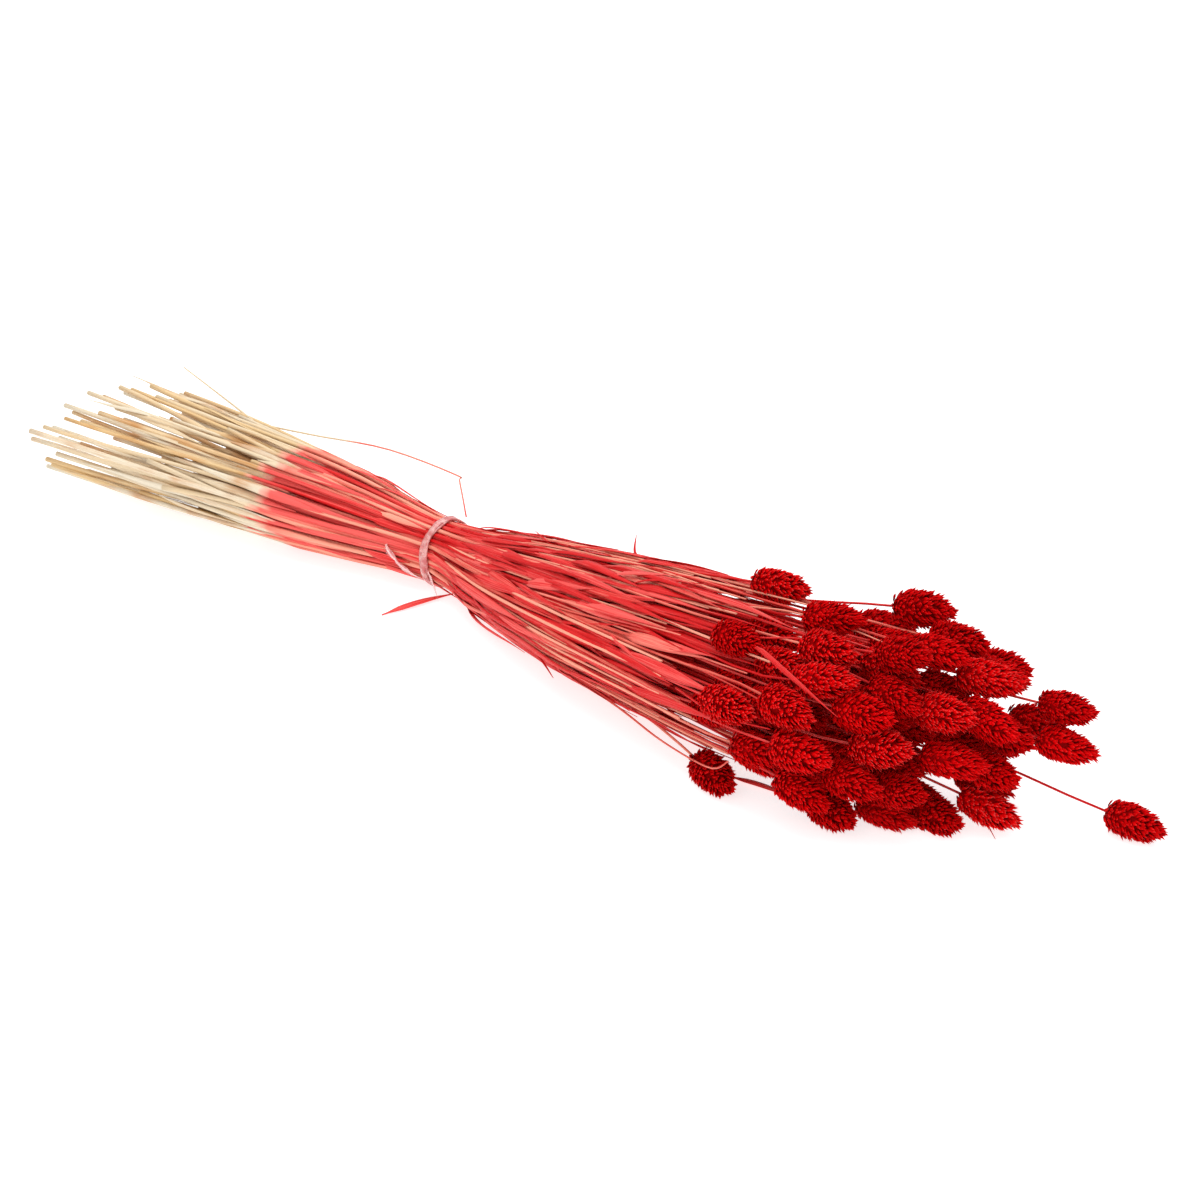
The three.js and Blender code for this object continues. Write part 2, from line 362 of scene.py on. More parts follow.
# A closed tube along X from 0 to 1 of radius 1, with its front end hollowed
def tubeTemplate(name, look):
    tube = bmesh.new()
    bmesh.ops.create_cone(tube, cap_ends=True, segments=look["sides"],
                          radius1=1, radius2=1, depth=1)
    bmesh.ops.subdivide_edges(tube, edges=edgesAlong(tube, 2), cuts=look["steps"] - 1,
                              use_grid_fill=True)
    if look["hollow"]:
        mouth = [face for face in tube.faces if face.normal.z < -0.9]
        bmesh.ops.inset_region(tube, faces=mouth, thickness=look["wall"])
        inner = bmesh.ops.extrude_face_region(tube, geom=mouth)["geom"]
        bmesh.ops.delete(tube, geom=mouth, context="FACES_ONLY")
        sunk = [item for item in inner if isinstance(item, bmesh.types.BMVert)]
        bmesh.ops.translate(tube, vec=(0, 0, look["hollow"]), verts=sunk)
    turn = Matrix.Rotation(math.pi / 2, 4, "Y") @ Matrix.Translation((0, 0, 0.5))
    bmesh.ops.transform(tube, matrix=turn, verts=tube.verts[:])
    return keptMesh(tube, name)


# What each vertex tells the materials: how far along and across it is, and the luck of its
# stem, blade or scale; on the inner stems the shade mark is lowered, which paints shade
marks = ("run", "across", "tone", "shade")


class Piece:
    def __init__(self, name):
        self.name = name
        self.made = bmesh.new()
        self.layers = {mark: self.made.verts.layers.float.new(mark) for mark in marks}

    def added(self, template):
        first = len(self.made.verts)
        self.made.from_mesh(template)
        self.made.verts.ensure_lookup_table()
        return self.made.verts[first:]

    # Adds a template, moving each vertex to place(x, y, z), which also gives its marks
    def lay(self, template, place):
        for vert in self.added(template):
            point, values = place(*vert.co)
            vert.co = point
            for mark, value in values.items():
                vert[self.layers[mark]] = value

    # Adds a template that keeps its shape and its marks, apart from the shade
    def stamp(self, template, matrix, shade):
        fresh = self.added(template)
        bmesh.ops.transform(self.made, matrix=matrix, verts=fresh)
        for vert in fresh:
            vert[self.layers["shade"]] = shade
            aboveFloor(vert.co)

    def done(self, material, nodes=(), smoothed=False, outward=True):
        for face in self.made.faces:
            face.smooth = smoothed
        mesh = keptMesh(self.made, self.name, outward)
        mesh.materials.append(material)
        obj = inScene(self.name, mesh)
        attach(obj, "root")
        if nodes:
            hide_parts(*nodes)
        triangles = sum(len(polygon.vertices) - 2 for polygon in mesh.polygons)
        print(self.name, "triangles", triangles)


# Grass finish, shared by stems and blades

grassLook = {
    "specular": 0.22,
    "roughness": (0.42, 0.25),  # the least, and what the fibres add
    "bumpDistance": 0.0006,
    "fibres": (14, 4.5, 31, 3, 0.7),  # scales along, across and from stem to stem, then detail
    "fine": (60, 11, 53, 2, 0.6),
    "patches": (42, 2, 0.5),
    "dyeStation": -113,  # where the dye ends, from the tie
    "raggedness": 26,
    "patchShift": 16,
    "fade": 5,
    "freshLength": 34,  # the dye is weaker over this length from where it ends
    "buttStations": (-50, 40),  # the dyed grass is paler between the cut ends and the tie
    "buttPaleness": 0.42,
    "dyeWeights": (0.55, 2.0, 0.9, 0.2),  # of tone, fibres, fine fibres and shade
    "dyeShift": 0.14,
    "redRange": (0.05, 1.0),
    "coralRange": (0.42, 1.05),
    "peachRange": (0.0, 0.35),
    "peachShare": 0.75,
    "creamRange": (0.15, 0.85),
    "amberRange": (0.4, 0.76),
    "amberShare": 0.8,
    "ringStrength": 2.4,  # of the faded ring where the dye ends
    "deepRed": colour(198, 0, 4),
    "red": colour(222, 32, 34),
    "coral": colour(234, 92, 86),
    "peach": colour(244, 174, 146),
    "fadedPink": colour(240, 172, 152),
    "cream": colour(227, 215, 193),
    "straw": colour(222, 187, 134),
    "amber": colour(192, 126, 56),
}


def grassMaterial(name, paleShare, streakBump):
    look = grassLook
    material, wire, shader = newMaterial(name, {"Specular IOR Level": look["specular"]})
    # The shade mark is a stem's luck, lowered on the inner stems as painted shade: a lower mark
    # gives deeper red, less peach and more amber
    run, across, tone, shade = (wire.attribute(mark) for mark in marks)
    place = wire.objectPlace()
    x = wire.node("ShaderNodeSeparateXYZ", {}, {"Vector": place}) / millimetre - tieStation

    def streaks(alongScale, acrossScale, stemScale, detail, roughness):
        at = wire.joined(run * alongScale, across * acrossScale, tone * stemScale)
        return wire.noise(at, 1.0, detail, roughness)

    fibres, fine = streaks(*look["fibres"]), streaks(*look["fine"])
    patches = wire.noise(place, *look["patches"])

    edge = (x - look["dyeStation"] - (tone - 0.5) * look["raggedness"]
            - (patches - 0.5) * look["patchShift"])
    dyed = edge.within(-look["fade"], look["fade"])
    fresh = edge.within(0, look["freshLength"])
    butt = x.within(*look["buttStations"], look["buttPaleness"], 0.0)

    byTone, byFibres, byFine, byShade = look["dyeWeights"]
    strength = (tone * byTone + (fibres - 0.5) * byFibres + (fine - 0.5) * byFine
                + shade * byShade + butt)
    strength = (strength + look["dyeShift"]).within(*look["redRange"])
    redBody = strength.tint(look["deepRed"], look["red"])
    redBody = strength.within(*look["coralRange"]).tint(redBody, look["coral"])
    pale = shade + (fine - 0.5) * 0.5 + butt * 0.75 - (1 - paleShare)
    pale = pale.within(*look["peachRange"])
    redBody = (pale * look["peachShare"]).tint(redBody, look["peach"])
    redBody = (fresh * 0.55 + 0.45).tint(look["coral"], redBody)

    dry = (tone * 0.55 + fibres * 0.7 - 0.1).within(*look["creamRange"])
    dryBody = dry.tint(look["straw"], look["cream"])
    # Amber patches: the straw's own ageing, and painted shade on the inner stems through their
    # lower shade mark
    ageAndShade = (patches * 0.7 + fine * 0.5 - shade * 0.45).within(*look["amberRange"])
    dryBody = (ageAndShade * look["amberShare"]).tint(dryBody, look["amber"])
    stained = dyed.tint(dryBody, redBody)
    ring = dyed * (1 - dyed) * look["ringStrength"]

    leastRoughness, addedRoughness = look["roughness"]
    relief = fibres * 0.6 + fine * 0.4
    plug(shader, {
        "Base Color": ring.tint(stained, look["fadedPink"]),
        "Roughness": fibres * addedRoughness + leastRoughness,
        "Normal": relief.bump(streakBump, look["bumpDistance"]),
    })
    return material


stemFinish = grassMaterial("stemGrass", 0.34, 0.35)
bladeFinish = grassMaterial("bladeGrass", 0.16, 0.5)

# Stems

stems = {
    "sides": 7,
    "steps": 30,
    "hollow": 0.012,
    "wall": 0.34,
    "cutRadius": 1.45,  # at the cut ends, and where they are
    "cutStation": -260,
    "waistRadius": 1.15,
    "neckRadius": 0.62,
    "neckStation": 250,
    "neckLength": 74,  # where a stem leaves its place in the bunch for its head
    "neckStep": 4,
    "sunk": 3,
    "thickness": (0.82, 1.18),  # stems differ up to this station
    "thicknessUntil": 120,
    "joints": [(-230, -60), (40, 150)],
    "jointSwell": 0.3,
    "jointWidth": 3.5,
    "waver": 1.5,
    "waverShares": (0.4, 1),
    "waverGrows": (15, 90),  # a start and a length, both ways from the tie
    "waverEnds": (190, 60),
    "waves": (37, 43),
    "wavePhase": 1.7,
    "stray": 9,  # how far the cut ends spread
    "strayGrows": (100, 170),
    "straySide": (-1, 1),
    "strayRise": (-0.6, 0.8),
    "outerFrom": 0.85,  # stems further in than this get painted shade: a lower shade mark, so deeper red, less peach and more amber
    "innerShading": 0.5,
    "fillers": 120,
    "fillerOut": (0.15, 1.0),
    "fillerEnds": (200, 285),
    "fillerCuts": (-120, -215),
    "fillerSlant": 22,
}


def stemRadius(station):
    if station < 0:
        share = min(1, station / stems["cutStation"])
        return mix(stems["waistRadius"], stems["cutRadius"], share)
    return mix(stems["waistRadius"], stems["neckRadius"], min(1, station / stems["neckStation"]))


# A function from a share of the length to a point of the stem, in metres
def stemPath(stalk):
    place, cut, head = stalk["place"], stalk["cut"], stalk.get("head")
    phase = dice.uniform(0, math.tau)
    waver = dice.uniform(*stems["waverShares"]) * stems["waver"]
    side, rise = dice.uniform(*stems["straySide"]), dice.uniform(*stems["strayRise"])
    sideWave, riseWave = stems["waves"]

    def wild(station):
        point = placeAt(place, station)
        free = past(abs(station), *stems["waverGrows"])
        free *= 1 - past(station, *stems["waverEnds"])
        risePhase = phase * stems["wavePhase"]
        point.y += waver * free * math.sin(station / sideWave + phase) * millimetre
        point.z += waver * free * math.cos(station / riseWave + risePhase) * millimetre
        stray = past(-station, *stems["strayGrows"]) * stems["stray"]
        return point + Vector((0, side * stray, rise * stray)) * millimetre

    if not head:
        return lambda share: wild(mix(cut, stalk["end"], share))
    base = head["base"] + head["axis"] * stems["sunk"] * millimetre
    end = stationOf(base)
    leave = end - stems["neckLength"]
    start, before = wild(leave), wild(leave - stems["neckStep"])
    gap = (base - start).length
    heading = (start - before).normalized() * gap
    arriving = head["axis"] * gap

    def path(share):
        station = mix(cut, end, share)
        if station <= leave:
            return wild(station)
        t = (station - leave) / stems["neckLength"]
        return (start * (2 * t ** 3 - 3 * t ** 2 + 1) + heading * (t ** 3 - 2 * t ** 2 + t)
                + base * (3 * t ** 2 - 2 * t ** 3) + arriving * (t ** 3 - t ** 2))

    return path


def layTube(piece, template, path, radiusAt, tone, shade, length):
    step = 0.004
    frames = {}
    spin = dice.uniform(0, math.tau)

    def frameAt(share):
        key = round(share, 5)
        if key not in frames:
            point = path(share)
            ahead = path(min(1, share + step)) - path(max(0, share - step))
            ahead = ahead.normalized()
            sideways = ahead.cross(Vector((0, 0, 1))).normalized()
            frames[key] = point, sideways, sideways.cross(ahead)
        return frames[key]

    def place(x, y, z):
        point, sideways, up = frameAt(min(1, max(0, x)))
        radius = radiusAt(x) * math.hypot(y, z) * millimetre
        turn = math.atan2(z, y)
        outward = sideways * math.cos(turn + spin) + up * math.sin(turn + spin)
        values = {"run": x * length, "across": turn / math.pi, "tone": tone, "shade": shade}
        return aboveFloor(point + outward * radius), values

    piece.lay(template, place)


# Shorter and thinner stems without a head, which fill the inside of the bunch
def drawFillers():
    fillers = []
    for _ in range(stems["fillers"]):
        angle, out = dice.uniform(0, math.tau), dice.uniform(*stems["fillerOut"])
        place = out * math.cos(angle), out * math.sin(angle)
        cut = dice.uniform(*stems["fillerCuts"]) + stems["fillerSlant"] * place[0]
        fillers.append({"place": place, "cut": cut, "end": dice.uniform(*stems["fillerEnds"])})
    return fillers


def buildStems():
    template = tubeTemplate("stemTemplate", stems)
    culms = Piece("culms")
    for stalk in stalks + drawFillers():
        end = stalk["end"] if "end" in stalk else stationOf(stalk["head"]["base"])
        cut = stalk["cut"]
        thick = dice.uniform(*stems["thickness"])
        joints = [dice.uniform(*stations) for stations in stems["joints"]]

        def radiusAt(share):
            station = mix(cut, end, share)
            swell = sum(math.exp(-((station - joint) / stems["jointWidth"]) ** 2)
                        for joint in joints)
            own = thick if station < stems["thicknessUntil"] else 1
            return stemRadius(station) * own * (1 + stems["jointSwell"] * swell)

        length = (end - cut) * millimetre
        # Inner stems get a lower shade mark, which paints the shade inside the bunch
        outer = math.hypot(*stalk["place"]) > stems["outerFrom"]
        pale = 1 if outer else stems["innerShading"]
        layTube(culms, template, stemPath(stalk), radiusAt, dice.random(),
                dice.random() * pale, length)
    nodes = sorted({stalk["node"] for stalk in stalks})
    culms.done(stemFinish, nodes, smoothed=True)


buildStems()

# Blades over the fan and sheaths over the cut ends

leaf = {  # what all of them share, and the loose leaves too
    "steps": 12,
    "folds": 1,
    "thickness": 0.16,
    "edgeShare": 0.6,  # of the thickness, left at the edges
    "leastHalf": 0.12,
    "leastRadius": 8,  # round the bunch
    "footWidth": 0.12,
    "footLength": 0.3,
    "point": (0.45, 0.55),
    "pointPower": 0.8,
    "twist": 0.7,
    "twistGrows": (0.2, 0.8),
    "twistGain": 1.2,
    "twistLift": 0.8,
    "bow": 0.7,
    "liftShares": (0.2, 1),
    "keelChoices": (-0.5, 0.4, 1),
    "keelHeight": 0.3,
    "curlDepth": 0.12,
    "ripple": 0.5,
    "rippleLength": 11,
}
waist = {
    "count": 60,
    "from": (-45, -12),
    "length": (50, 110),
    "width": (2.4, 5),
    "out": (0.92, 1.0),
    "rise": 0.8,
    "tuck": 0.4,
    "drift": 0.06,
    "keel": 0.5,
    "curl": 0.8,
    "blunt": 0,
}
blades = {
    "count": 460,
    "from": (4, 190),
    "crowding": 1.1,  # towards the tie
    "length": (55, 135),
    "shortFrom": 120,
    "shortShare": 0.75,
    "width": (1.8, 6.0),
    "out": (0.9, 1.05),
    "rise": 2.6,
    "tuck": 1.6,  # how far the foot of a blade goes in between the others
    "drift": 0.2,
    "keel": 0.8,
    "curl": 1.2,
    "blunt": 0,
}
sheaths = {
    "count": 120,
    "from": (-215, -30),
    "firstTurn": 0.3,
    "length": (50, 130),
    "backEvery": 3,  # one in so many points towards the cut ends, and ends before them
    "cutStation": -268,
    "tieGap": 4,  # the others end before the tie, or are short where they start near it
    "nearTie": -40,
    "nearTieLength": 30,
    "width": (1.8, 4.8),
    "out": (0.86, 1.04),
    "rise": 2.2,
    "tuck": 0,
    "drift": 0.1,
    "keel": 0.9,
    "curl": 0.6,
    "blunt": 0.0375,
}


# Half width along a blade, as a share: a narrow foot, a long body and a drawn-out point
def bladeOutline(share, blunt):
    foot = mix(leaf["footWidth"], 1, smooth(share / leaf["footLength"]))
    return foot * (1 - past(share, *leaf["point"])) ** leaf["pointPower"] + blunt


def layBlade(piece, template, start, length, angle, drift, width, out, look, back=False):
    tone, shade = dice.random(), dice.random()
    twist = dice.uniform(-leaf["twist"], leaf["twist"])
    bow = dice.uniform(-1, 1) * leaf["bow"]
    wave = dice.uniform(0, math.tau)
    lifted = dice.uniform(*leaf["liftShares"]) * look["rise"]
    keel = look["keel"] * dice.choice(leaf["keelChoices"])
    handed = -1 if back else 1

    def place(x, y, z):
        station = start + length * handed * x
        _, _, wide, high = sectionAt(station)
        around = angle + drift * x
        radius = math.hypot(wide * math.sin(around), high * math.cos(around)) * out
        radius = max(leaf["leastRadius"], radius)
        half = width / 2 * bladeOutline(x, look["blunt"]) + leaf["leastHalf"]
        turned = twist * past(x, *leaf["twistGrows"]) * leaf["twistGain"]
        lie = y * half * math.cos(turned) * handed
        inner = 1 - abs(y)
        fold = (keel * half * leaf["keelHeight"] * inner
                - look["curl"] * leaf["curlDepth"] * half * y * y)
        lift = ((lifted + look["tuck"]) * smooth(x / leaf["footLength"]) - look["tuck"] + fold
                + y * half * math.sin(turned) * leaf["twistLift"]
                + bow * math.sin(math.pi * x)
                + leaf["ripple"] * math.sin(station / leaf["rippleLength"] + wave))
        thin = leaf["thickness"] * mix(leaf["edgeShare"], 1, inner)
        point = onBunch(station, around - lie / radius, out, lift + z * thin)
        values = {"run": x * length * millimetre, "across": y, "tone": tone, "shade": shade}
        return aboveFloor(point), values

    piece.lay(template, place)


def scatter(piece, template, start, length, angle, look, back=False):
    drift = dice.gauss(0, look["drift"])
    width, out = dice.uniform(*look["width"]), dice.uniform(*look["out"])
    layBlade(piece, template, start, length, angle, drift, width, out, look, back)


def buildBlades():
    template = stripTemplate("bladeTemplate", leaf["steps"], leaf["folds"])
    fan = Piece("fanBlades")
    for k in range(blades["count"]):
        start = mix(*blades["from"], evenly(k) ** blades["crowding"])
        length = dice.uniform(*blades["length"])
        if start > blades["shortFrom"]:
            length *= blades["shortShare"]
        scatter(fan, template, start, length, math.tau * evenly(k, plasticStep), blades)
    for k in range(waist["count"]):
        start, length = dice.uniform(*waist["from"]), dice.uniform(*waist["length"])
        scatter(fan, template, start, length, math.tau * evenly(k), waist)
    fan.done(bladeFinish, smoothed=True)

    butt = Piece("buttSheaths")
    for k in range(sheaths["count"]):
        start = mix(*sheaths["from"], evenly(k))
        back = k % sheaths["backEvery"] == 0
        if back:
            longest = start - sheaths["cutStation"]
        elif start < sheaths["nearTie"]:
            longest = -start - sheaths["tieGap"]
        else:
            longest = sheaths["nearTieLength"]
        length = min(dice.uniform(*sheaths["length"]), longest)
        angle = math.tau * evenly(k, plasticStep, sheaths["firstTurn"])
        scatter(butt, template, start, length, angle, sheaths, back)
    butt.done(bladeFinish, smoothed=True)


buildBlades()

# Loose stems, leaf tips and scraps

loose = {
    "sides": 6,
    "steps": 22,
    "hollow": 0,
    "onBunch": [  # radius at the start and end, paleness, then station, angle and share out
        [(0.6, 0.3, 0.6), (205, 126, 0.98), (262, 118, 1.05), (287, 109, 1.08),
         (306, 103, 1.06)],
        [(0.7, 0.4, 0.8), (120, 214, 1.0), (181, 222, 1.1), (222, 223, 1.22),
         (262, 216, 1.24), (276, 204, 1.14)],
        [(1.5, 0.12, 0.1), (157, 68, 0.98), (140, 58, 1.1), (133, 55, 1.4)],
        [(1.7, 0.12, 0.1), (153, 72, 0.99), (170, 71, 1.1), (187, 70, 1.08)],
        [(1.2, 0.15, 0.2), (104, 84, 1.0), (88, 82, 1.08), (72, 78, 1.26)],
        [(1.3, 0.15, 0.1), (96, 214, 1.0), (118, 216, 1.05), (136, 217, 1.2)],
        [(0.55, 0.35, 0.7), (240, 148, 1.0), (292, 152, 1.08), (318, 160, 1.06)],
        [(0.55, 0.35, 0.5), (236, 168, 1.0), (270, 170, 1.1), (300, 168, 1.04)],
        [(0.55, 0.35, 0.9), (232, 98, 1.0), (268, 92, 1.1), (300, 88, 1.08),
         (322, 86, 1.02)],
    ],
    "onBunchTone": 0.4,
    "free": [  # radius at the start and end, then points in millimetres from the tie
        [(0.6, 0.45), (-176, 32, 46), (-137, 42, 45), (-92, 57, 43), (-36, 55, 42),
         (-30, 52, 40), (2, 22, 37)],
        [(0.8, 0.4), (-150, 22, 46), (-191, 36, 48), (-232, 49, 50), (-268, 60, 52)],
    ],
    "freeTone": 0.5,
    "freePaleness": 0.6,
    "leaves": [  # start, length, angle and drift in degrees, width, share out, rise
        (262, 74, 120, 26, 2.1, 1.05, 8.0),
        (148, 44, 77, -2, 4.6, 1.03, 6),
        (-4, 26, 225, 16, 3.2, 1.0, 3),
        (30, 70, 222, 4, 6.4, 1.02, 6),
        (64, 80, 214, 8, 5.4, 1.02, 5),
        (-34, 30, 214, 12, 5.4, 1.02, 4),
    ],
    "onFloor": [  # width and the two ends of a dried leaf that lies on the floor; the second is a dark leaf laid along the heads' contact shadow, standing in for it as painted shadow
        (5.4, (0, -46), (13, 2)),
        # Painted shadow: a dark leaf along the contact shadow in front of the heads
        (4.0, (256, -72), (298, -70)),
        (2.4, (346, -4), (389, -42)),
        (1.8, (334, -20), (369, -43)),
    ],
    "floorLift": 0.5,
    "floorArch": 1.4,
    "floorCrown": 0.35,
    "floorShade": 0.2,
}
fanStems = {  # thin stems that lie on the fan
    "count": 70,
    "from": (10, 110),
    "to": (190, 285),
    "drift": 0.2,
    "foot": 0.98,
    "footLength": 0.25,
    "out": (1.0, 1.07),
    "radius": (0.6, 1.05),
    "taper": 0.6,
    "paleness": (0.75, 1.1),
}


# A smooth path through points
def throughPoints(points):
    spans = len(points) - 1

    def path(share):
        t = min(0.99999, max(0, share)) * spans
        k = int(t)
        t -= k
        a, b, c, d = (points[min(spans, max(0, k + step))] for step in (-1, 0, 1, 2))
        return (b * 2 + (c - a) * t + (a * 2 - b * 5 + c * 4 - d) * t ** 2
                + (b * 3 - a - c * 3 + d) * t ** 3) * 0.5

    return path


def buildLooseStems():
    template = tubeTemplate("looseTemplate", loose)
    piece = Piece("looseStems")

    def layStem(points, radii, tone, shade):
        length = sum((b - a).length for a, b in zip(points, points[1:]))
        layTube(piece, template, throughPoints(points), lambda x: mix(*radii, x), tone, shade,
                length)

    for (*radii, paleness), *route in loose["onBunch"]:
        points = [onBunch(station, math.radians(angle), out) for station, angle, out in route]
        layStem(points, radii, loose["onBunchTone"], paleness)
    for radii, *route in loose["free"]:
        points = [fromTie(*point) for point in route]
        layStem(points, radii, loose["freeTone"], loose["freePaleness"])
    for k in range(fanStems["count"]):
        start, end = dice.uniform(*fanStems["from"]), dice.uniform(*fanStems["to"])
        angle, drift = math.tau * evenly(k), dice.gauss(0, fanStems["drift"])
        out = dice.uniform(*fanStems["out"])
        points = []
        for t in (0, 0.2, 0.4, 0.6, 0.8, 1):
            share = mix(fanStems["foot"], out, smooth(t / fanStems["footLength"]))
            points.append(onBunch(mix(start, end, t), angle + drift * t, share))
        thick = dice.uniform(*fanStems["radius"])
        layStem(points, (thick, thick * fanStems["taper"]), dice.random(),
                dice.uniform(*fanStems["paleness"]))
    piece.done(stemFinish, smoothed=True)


def buildLooseLeaves():
    template = stripTemplate("leafTemplate", leaf["steps"], leaf["folds"])
    leaves = Piece("looseLeaves")
    for start, length, angle, drift, width, out, rise in loose["leaves"]:
        layBlade(leaves, template, start, length, math.radians(angle), math.radians(drift),
                 width, out, {**blades, "rise": rise})
    for width, tail, tip in loose["onFloor"]:
        a, b = fromTie(*tail, 0), fromTie(*tip, 0)
        sideways = (b - a).cross(Vector((0, 0, 1))).normalized()
        tone = dice.random()

        def place(x, y, z):
            half = width * millimetre / 2 * bladeOutline(x, 0)
            height = (loose["floorLift"] + loose["floorArch"] * math.sin(math.pi * x)
                      + loose["floorCrown"] * (1 - y * y) + z * leaf["thickness"])
            point = a.lerp(b, x) - sideways * y * half
            point.z = height * millimetre
            values = {"run": x * (b - a).length, "across": y, "tone": tone,
                      "shade": loose["floorShade"]}
            return aboveFloor(point), values

        leaves.lay(template, place)
    leaves.done(bladeFinish, smoothed=True)


buildLooseStems()
buildLooseLeaves()

# Seed heads

heads = {
    "pieces": {"outerHeads": (0,), "middleHeads": (1,), "innerHeads": (2, 3)},  # and their rings
    "templates": 4,
    "firstSeed": 300,
    "length": 33,
    "radius": 8.8,
    "fullness": (1.0, 1.16),
    "outline": (0.045, 0.93, 0.72, 0.8),  # start, span, how early it is fullest, roundness
    "coreSegments": (10, 8),
    "coreShare": 0.8,
    "coreLength": 0.8,
    "coreReach": 0.92,
    "coreStart": 0.6,
    # The core takes the dark painted shade of a scale's foot
    "coreShadeRun": 0.35,
    "coreTone": 0.2,
    "glumes": 420,
    "glumeLength": (5.6, 7.0),
    "glumeWidth": (0.75, 1.1),
    "lengthShares": (0.82, 0.94),  # at the foot of the head and at its tip
    "widthShares": (1.1, 0.86),
    "keelHeight": 0.62,
    "backHeight": 0.22,
    "heightGain": 1.3,
    "hook": (-0.5, 0.9),
    "lowestTilt": 50,
    "middleTilt": 31,
    "middleFrom": 0.36,
    "tipTilt": 12,
    "tipFrom": 0.3,
    "tiltSpread": 6,
    "leanSpread": 0.16,
    "turnSpread": 0.12,
    "reach": 0.86,
    "closing": 0.7,  # how far the last scales draw in towards the axis
    "closingFrom": 0.64,
    "anchor": 0.62,
    "crowding": 0.8,  # gives the narrow ends more scales
    "countSteps": 400,
}


def bodyRadius(share):
    start, span, early, roundness = heads["outline"]
    return heads["radius"] * math.sin(math.pi * (start + span * share) ** early) ** roundness


# A narrow keeled scale along X, of length 1, with its keel towards Z
def glumeTemplate():
    glume = bmesh.new()
    bmesh.ops.create_uvsphere(glume, u_segments=4, v_segments=3, radius=1)
    rings = {-1: (0.0, 0.0), -0.5: (0.2, 0.62), 0.5: (0.62, 1.0), 1: (1.0, 0.0)}
    for vert in glume.verts:
        along, wide = rings[round(vert.co.z * 2) / 2]
        direction = Vector((vert.co.x, vert.co.y, 0))
        direction = direction.normalized() * wide if direction.length > 1e-4 else Vector()
        vert.co = Vector((along, direction.x, direction.y))
    return keptMesh(glume, "glumeTemplate")


# A dark core inside the head, coloured with the painted shade of the scales' feet, which fills the
# gaps between them
def layCore(head):
    core = bmesh.new()
    around, rings = heads["coreSegments"]
    bmesh.ops.create_uvsphere(core, u_segments=around, v_segments=rings, radius=1)

    def place(x, y, z):
        share = (z + 1) / 2
        radius = bodyRadius(share * heads["coreReach"]) * heads["coreShare"]
        flat = math.hypot(x, y)
        across = (x / flat * radius, y / flat * radius) if flat > 0.01 else (0, 0)
        along = share * heads["length"] * heads["coreLength"] + heads["coreStart"]
        values = {"run": heads["coreShadeRun"], "tone": heads["coreTone"]}
        return Vector((along, *across)) * millimetre, values

    head.lay(keptMesh(core, "coreTemplate"), place)


def headTemplate(number, glume):
    luck = random.Random(heads["firstSeed"] + number)
    head = Piece(f"headTemplate{number}")
    layCore(head)
    steps, reach = heads["countSteps"], heads["reach"]
    counted = [0.0]  # the scales share out the head's surface, in a spiral round it
    for k in range(1, steps + 1):
        counted.append(counted[-1] + bodyRadius(k / steps * reach) + heads["crowding"])
    for k in range(heads["glumes"]):
        wanted = (k + luck.random()) / heads["glumes"] * counted[-1]
        share = min(steps, bisect.bisect(counted, wanted)) / steps * reach
        turn = k * goldenAngle + luck.uniform(-heads["turnSpread"], heads["turnSpread"])
        tilt = mix(heads["lowestTilt"], heads["middleTilt"], smooth(share / heads["middleFrom"]))
        tilt = mix(tilt, heads["tipTilt"], past(share, heads["tipFrom"], reach - heads["tipFrom"]))
        tilt = math.radians(tilt + luck.gauss(0, heads["tiltSpread"]))
        lean = luck.gauss(0, heads["leanSpread"])
        long = luck.uniform(*heads["glumeLength"]) * mix(*heads["lengthShares"], share / reach)
        wide = luck.uniform(*heads["glumeWidth"]) * mix(*heads["widthShares"], share / reach)
        outward = Vector((0, math.cos(turn), math.sin(turn)))
        tangent = Vector((0, -math.sin(turn), math.cos(turn)))
        ahead = Vector((math.cos(tilt), 0, 0)) + outward * math.sin(tilt) + tangent * lean
        ahead = ahead.normalized()
        tangent = (tangent - ahead * tangent.dot(ahead)).normalized()
        keel = ahead.cross(tangent)
        if keel.dot(outward) < 0:
            keel = -keel
        closed = past(share, heads["closingFrom"], reach - heads["closingFrom"])
        drawn = 1 - heads["closing"] * closed
        root = outward * bodyRadius(share) * heads["anchor"] * drawn
        base = Vector((share * heads["length"], 0, 0)) + root
        hook = luck.uniform(*heads["hook"])
        tone = luck.random()

        def place(x, y, z):
            high = heads["keelHeight"] if z > 0 else heads["backHeight"]
            lift = z * high * wide * heads["heightGain"] + hook * x ** 3
            point = base + ahead * x * long + tangent * y * wide + keel * lift
            return point * millimetre, {"run": x, "across": abs(y), "tone": tone}

        head.lay(glume, place)
    return keptMesh(head.made, head.name)


headLook = {
    "specular": 0.03,
    "roughness": (0.5, 0.25),
    "bumpStrength": 0.4,
    "bumpDistance": 0.0004,
    "grain": (900, 2, 0.6),
    "patches": (120, 2, 0.5),
    "deepRange": (0.05, 0.75),  # painted shade, from the dark foot of a scale, where it lies under the others, to its lighter tip
    "bodyRange": (0.35, 0.95),
    "brightRange": (0.3, 0.9),
    "tipRange": (0.75, 1.0),
    # Painted shade in the gaps between the scales, lifting to the body colour and a brighter tip
    "gap": colour(104, 0, 2),
    "deep": colour(176, 0, 3),
    "body": colour(208, 0, 3),
    "bright": colour(226, 0, 4),
    # Painted pink highlight on the tips of the scales
    "tip": colour(246, 104, 98),
}


